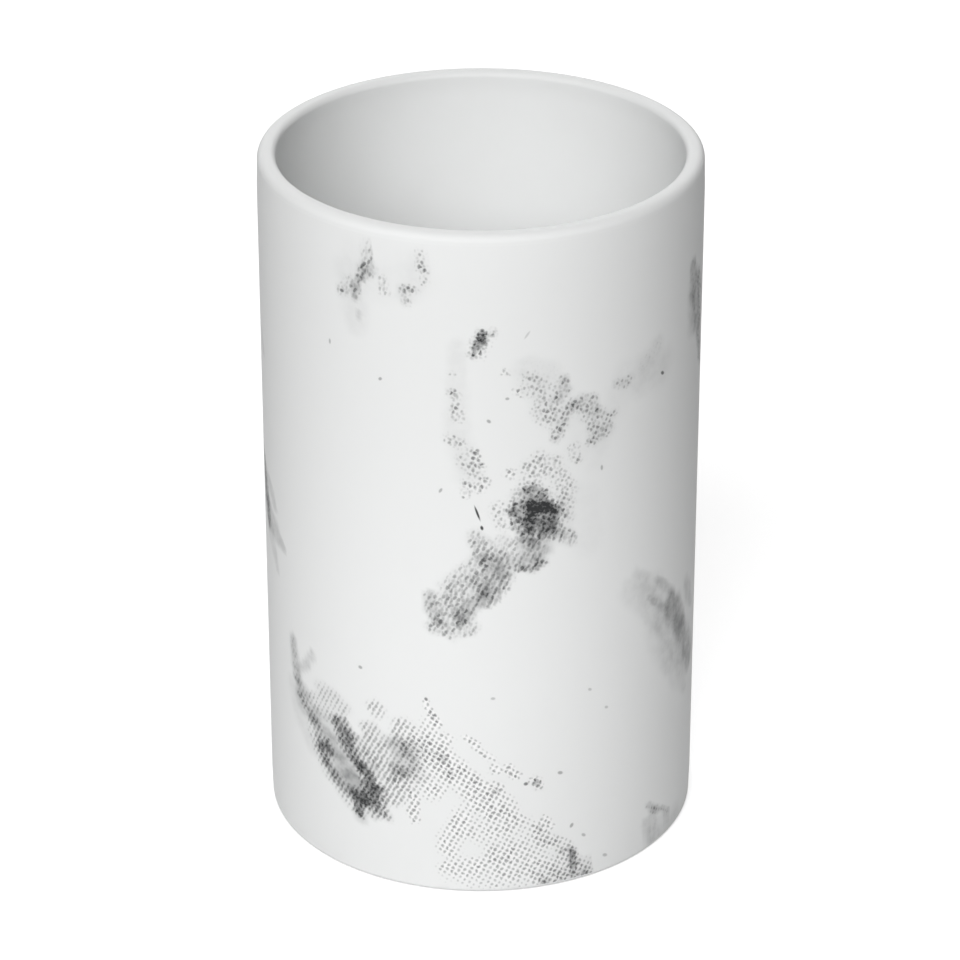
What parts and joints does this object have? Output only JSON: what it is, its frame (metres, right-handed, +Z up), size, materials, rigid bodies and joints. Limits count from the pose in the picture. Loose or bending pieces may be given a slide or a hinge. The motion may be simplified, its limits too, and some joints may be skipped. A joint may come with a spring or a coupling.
{
  "type": "bathroom tumbler",
  "caption": "Straight-sided matte white ceramic tumbler with a rounded lip, a grey marble-effect printed wrap on the wall and a non-slip pad under its foot.",
  "frame": {"origin": "middle of the pad's underside, on the surface that the tumbler stands on", "axes": "+Z up along the tumbler's axis, the front of the print faces -Y, the film's seam is on +Y"},
  "size_m": [0.07, 0.07, 0.115],
  "materials": {
    "ceramic_body": "matte, fine-grained",
    "printed_film": "matte, white with a grey marble print in halftone dots",
    "transfer_tape": "tacky, translucent",
    "foam_pad": "closed-cell foam, matte"
  },
  "bodies": {
    "root": {"tumbler_body": "ceramic_body", "marble_film": "printed_film", "pad_adhesive": "transfer_tape", "base_pad": "foam_pad"}
  },
  "joints": []
}
